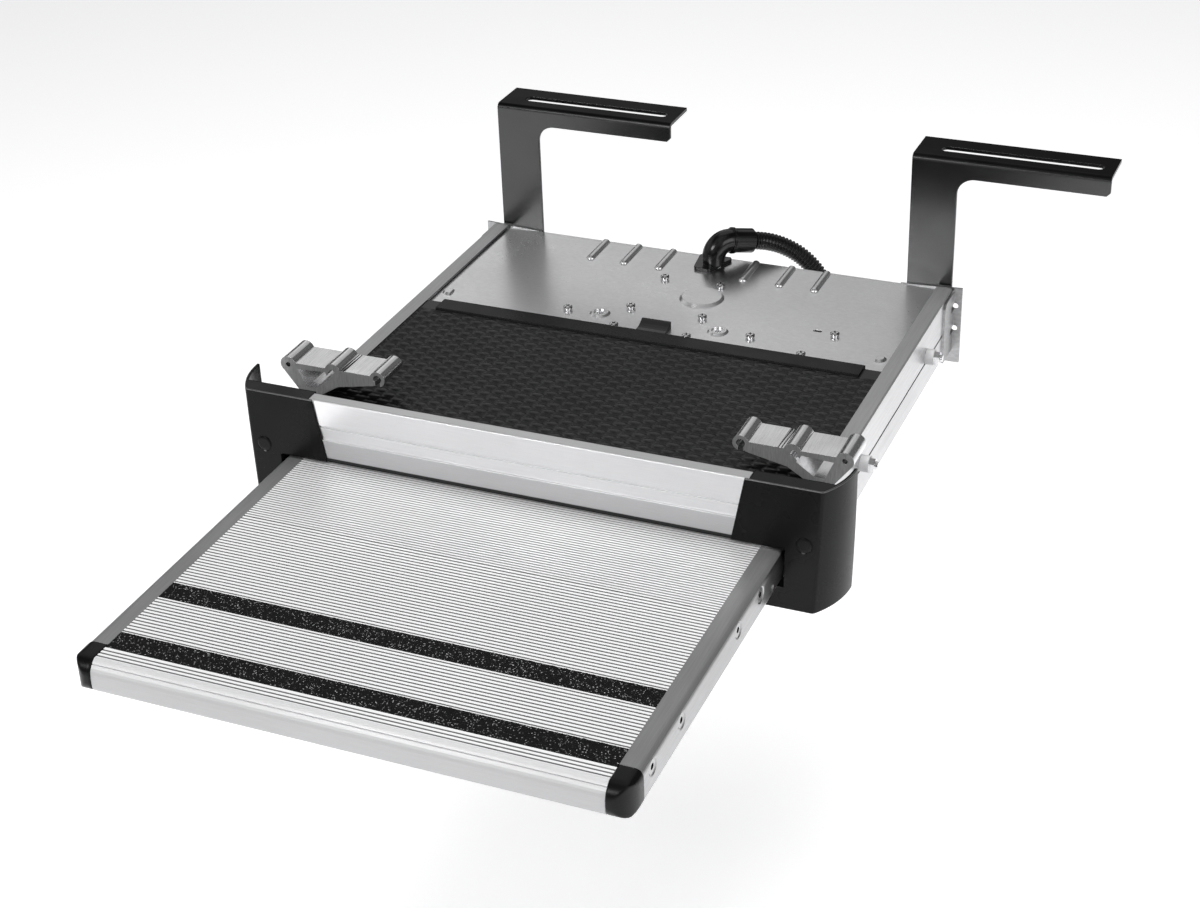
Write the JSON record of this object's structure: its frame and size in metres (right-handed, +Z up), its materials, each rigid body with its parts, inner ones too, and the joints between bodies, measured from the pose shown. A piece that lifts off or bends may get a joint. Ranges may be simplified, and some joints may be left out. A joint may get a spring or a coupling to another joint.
{
  "type": "caravan pull out step",
  "caption": "Electric pull-out entrance step: ribbed aluminium tread with grit strips sliding in a flat housing hung from two slotted brackets.",
  "frame": {"origin": "middle of the two hanging slots, on the brackets' top face", "axes": "+Z up, out of the brackets' top face; +Y to the rear, so the tread slides out along -Y; +X to the right seen from the front"},
  "size_m": [0.5782, 0.7436, 0.3127],
  "materials": {
    "zinc_sheet": "galvanised sheet, faintly streaked",
    "mill_aluminium": "extruded, satin grey",
    "anodised_aluminium": "clear anodised, matt silver",
    "sawn_aluminium": "raw extrusion with sawn ends",
    "black_coated_steel": "black powder coat, semi gloss",
    "black_textured_plastic": "fine grain",
    "black_smooth_plastic": "smooth, slightly glossy",
    "black_rubber": "embossed, dull",
    "black_hose_plastic": "ribbed, slightly glossy",
    "grit_strip": "mineral grit with bright grains",
    "zinc_fasteners": "zinc plated",
    "grey_bearing_plastic": "natural nylon",
    "cast_housing": "die cast, matt",
    "turned_steel": "turned",
    "brass_worm": "machined"
  },
  "bodies": {
    "housing": {"top_plate": "zinc_sheet", "left_rail": "mill_aluminium", "right_rail": "mill_aluminium", "rear_panel": "zinc_sheet", "front_fascia": "anodised_aluminium", "fascia_seal": "black_rubber", "left_end_cover": "black_textured_plastic", "right_end_cover": "black_textured_plastic", "cover_brackets": "zinc_sheet", "cover_plugs": "black_textured_plastic", "rubber_mat": "black_rubber", "mat_strip": "black_rubber", "mat_tab": "black_rubber", "plate_screws": "zinc_fasteners", "left_bracket": "black_coated_steel", "right_bracket": "black_coated_steel", "bracket_bolts": "zinc_fasteners", "left_ear_plate": "zinc_sheet", "right_ear_plate": "zinc_sheet", "rail_bolts": "zinc_fasteners", "left_adapter_block": "sawn_aluminium", "right_adapter_block": "sawn_aluminium", "adapter_screws": "zinc_fasteners", "front_guide_blocks": "grey_bearing_plastic", "drive_plate": "zinc_sheet", "gearbox_case": "cast_housing", "gearbox_lid": "cast_housing", "motor_can": "turned_steel", "motor_end_cap": "black_smooth_plastic", "control_box": "black_smooth_plastic", "limit_switches": "black_smooth_plastic", "idler_bracket": "zinc_sheet", "drive_belt": "black_rubber", "conduit_elbow": "black_smooth_plastic", "conduit_collar": "black_smooth_plastic", "conduit_hose": "black_hose_plastic", "hose_connector": "black_hose_plastic"},
    "tread": {"front_plank": "anodised_aluminium", "rear_plank": "anodised_aluminium", "left_arm": "mill_aluminium", "right_arm": "mill_aluminium", "left_nose_cap": "black_smooth_plastic", "right_nose_cap": "black_smooth_plastic", "front_grip_strip": "grit_strip", "rear_grip_strip": "grit_strip", "arm_screws": "zinc_fasteners", "rear_crossbar": "mill_aluminium", "belt_clamp": "turned_steel", "slide_shoes": "grey_bearing_plastic"},
    "drive_train": {"drive_shaft": "turned_steel", "drive_pulley": "turned_steel", "worm_wheel": "grey_bearing_plastic"},
    "idler": {"idler_pulley": "turned_steel"},
    "worm": {"worm_shaft": "brass_worm"}
  },
  "joints": [
    {"name": "tread_slide", "type": "slide", "parent": "housing", "child": "tread", "axis": [0, 1, 0], "range_m": [0, 0.26]},
    {"name": "drive_pulley_turn", "type": "hinge", "parent": "housing", "child": "drive_train", "pos_m": [-0.0524, -0.1045, -0.1352], "axis": [0, 0, 1], "range_deg": [-1125, 0]},
    {"name": "idler_turn", "type": "hinge", "parent": "housing", "child": "idler", "pos_m": [-0.0524, -0.4075, -0.1352], "axis": [0, 0, 1], "range_deg": [-1125, 0]},
    {"name": "worm_turn", "type": "hinge", "parent": "housing", "child": "worm", "pos_m": [-0.0524, -0.0852, -0.1532], "axis": [1, 0, 0], "range_deg": [0, 27000]}
  ],
  "couplings": [
    {"joint": "drive_pulley_turn", "follows": "tread_slide", "rad_per_m": -75.188},
    {"joint": "idler_turn", "follows": "tread_slide", "rad_per_m": -75.188},
    {"joint": "worm_turn", "follows": "tread_slide", "rad_per_m": 1804.5}
  ]
}
